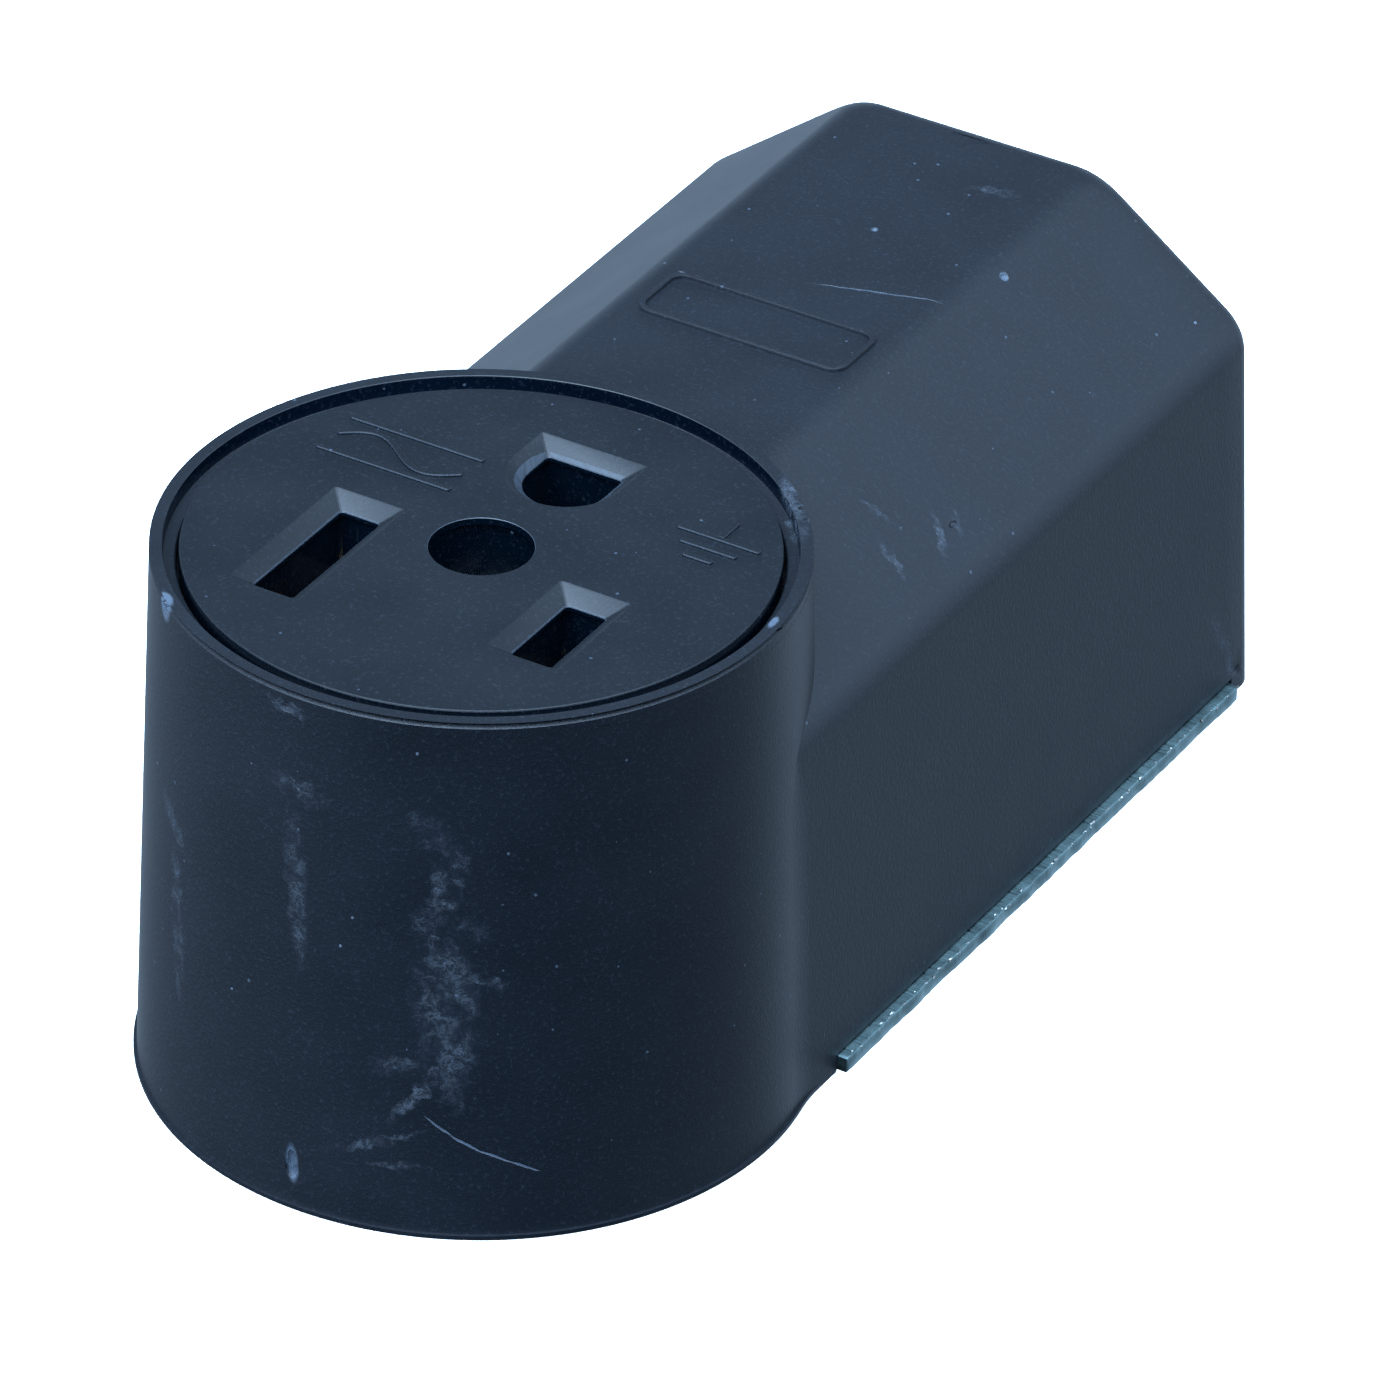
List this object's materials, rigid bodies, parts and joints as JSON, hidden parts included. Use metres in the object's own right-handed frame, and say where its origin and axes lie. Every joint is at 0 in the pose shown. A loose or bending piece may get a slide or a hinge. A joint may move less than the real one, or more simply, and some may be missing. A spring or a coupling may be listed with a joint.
{
  "type": "surface mount power receptacle",
  "caption": "Surface-mount 50 A three-wire power receptacle: moulded cover with bevelled blade slots, on a steel base plate with contacts, terminals and a cable clamp.",
  "frame": {"origin": "middle of the footprint, on the mounting surface", "axes": "+Z out of the mounting surface, towards the plug; +Y along the length, from the round receptacle to the cable end of the box; +X to the right"},
  "size_m": [0.0636, 0.126, 0.0547],
  "materials": {
    "cover_plastic": "moulded thermoplastic, fine grain, scuffed",
    "face_plastic": "moulded thermoplastic, satin",
    "phenolic": "moulded phenolic, semi-matt",
    "zinc_steel": "zinc-plated sheet steel",
    "screw_steel": "zinc-plated, turned or headed",
    "copper_alloy": "formed strip, bright",
    "spring_steel": "hardened, oiled",
    "lug_metal": "extruded, tin-plated"
  },
  "bodies": {
    "base": {"base_plate": "zinc_steel", "plate_bush": "zinc_steel", "contact_block": "phenolic", "contact_long": "copper_alloy", "contact_short": "copper_alloy", "contact_ground": "copper_alloy", "spring_long": "spring_steel", "spring_short": "spring_steel", "spring_ground": "spring_steel", "lug_long": "lug_metal", "lug_short": "lug_metal", "lug_ground": "lug_metal", "bond_strap": "zinc_steel", "bond_screw": "screw_steel", "block_rivet_left": "screw_steel", "block_rivet_right": "screw_steel"},
    "cover": {"cover": "cover_plastic", "receptacle_face": "face_plastic"},
    "cover_screw": {"cover_screw": "screw_steel"},
    "lug_screw_long": {"lug_screw_long": "screw_steel"},
    "lug_screw_short": {"lug_screw_short": "screw_steel"},
    "lug_screw_ground": {"lug_screw_ground": "screw_steel"},
    "clamp": {"cable_clamp": "zinc_steel"},
    "clamp_screw_left": {"clamp_screw_left": "screw_steel"},
    "clamp_screw_right": {"clamp_screw_right": "screw_steel"}
  },
  "joints": [
    {"name": "cover_lift", "type": "slide", "parent": "base", "child": "cover", "axis": [0, 0, 1], "range_m": [0, 0.06]},
    {"name": "cover_screw_turn", "type": "hinge", "parent": "cover", "child": "cover_screw", "pos_m": [0, -0.0312, 0.05], "axis": [0, 0, 1], "continuous": true},
    {"name": "lug_screw_long_travel", "type": "slide", "parent": "base", "child": "lug_screw_long", "axis": [0, 0, -1], "range_m": [0, 0.005]},
    {"name": "lug_screw_short_travel", "type": "slide", "parent": "base", "child": "lug_screw_short", "axis": [0, 0, -1], "range_m": [0, 0.005]},
    {"name": "lug_screw_ground_travel", "type": "slide", "parent": "base", "child": "lug_screw_ground", "axis": [0, 0, -1], "range_m": [0, 0.005]},
    {"name": "clamp_travel", "type": "slide", "parent": "base", "child": "clamp", "axis": [0, 0, -1], "range_m": [0, 0.0075]},
    {"name": "clamp_screw_left_turn", "type": "hinge", "parent": "clamp", "child": "clamp_screw_left", "pos_m": [-0.019, 0.0498, 0.024], "axis": [0, 0, -1], "range_deg": [0, 3376]},
    {"name": "clamp_screw_right_turn", "type": "hinge", "parent": "clamp", "child": "clamp_screw_right", "pos_m": [0.019, 0.0498, 0.024], "axis": [0, 0, -1], "range_deg": [0, 3376]}
  ],
  "couplings": [
    {"joint": "clamp_screw_left_turn", "follows": "clamp_travel", "rad_per_m": 7854},
    {"joint": "clamp_screw_right_turn", "follows": "clamp_travel", "rad_per_m": 7854}
  ]
}
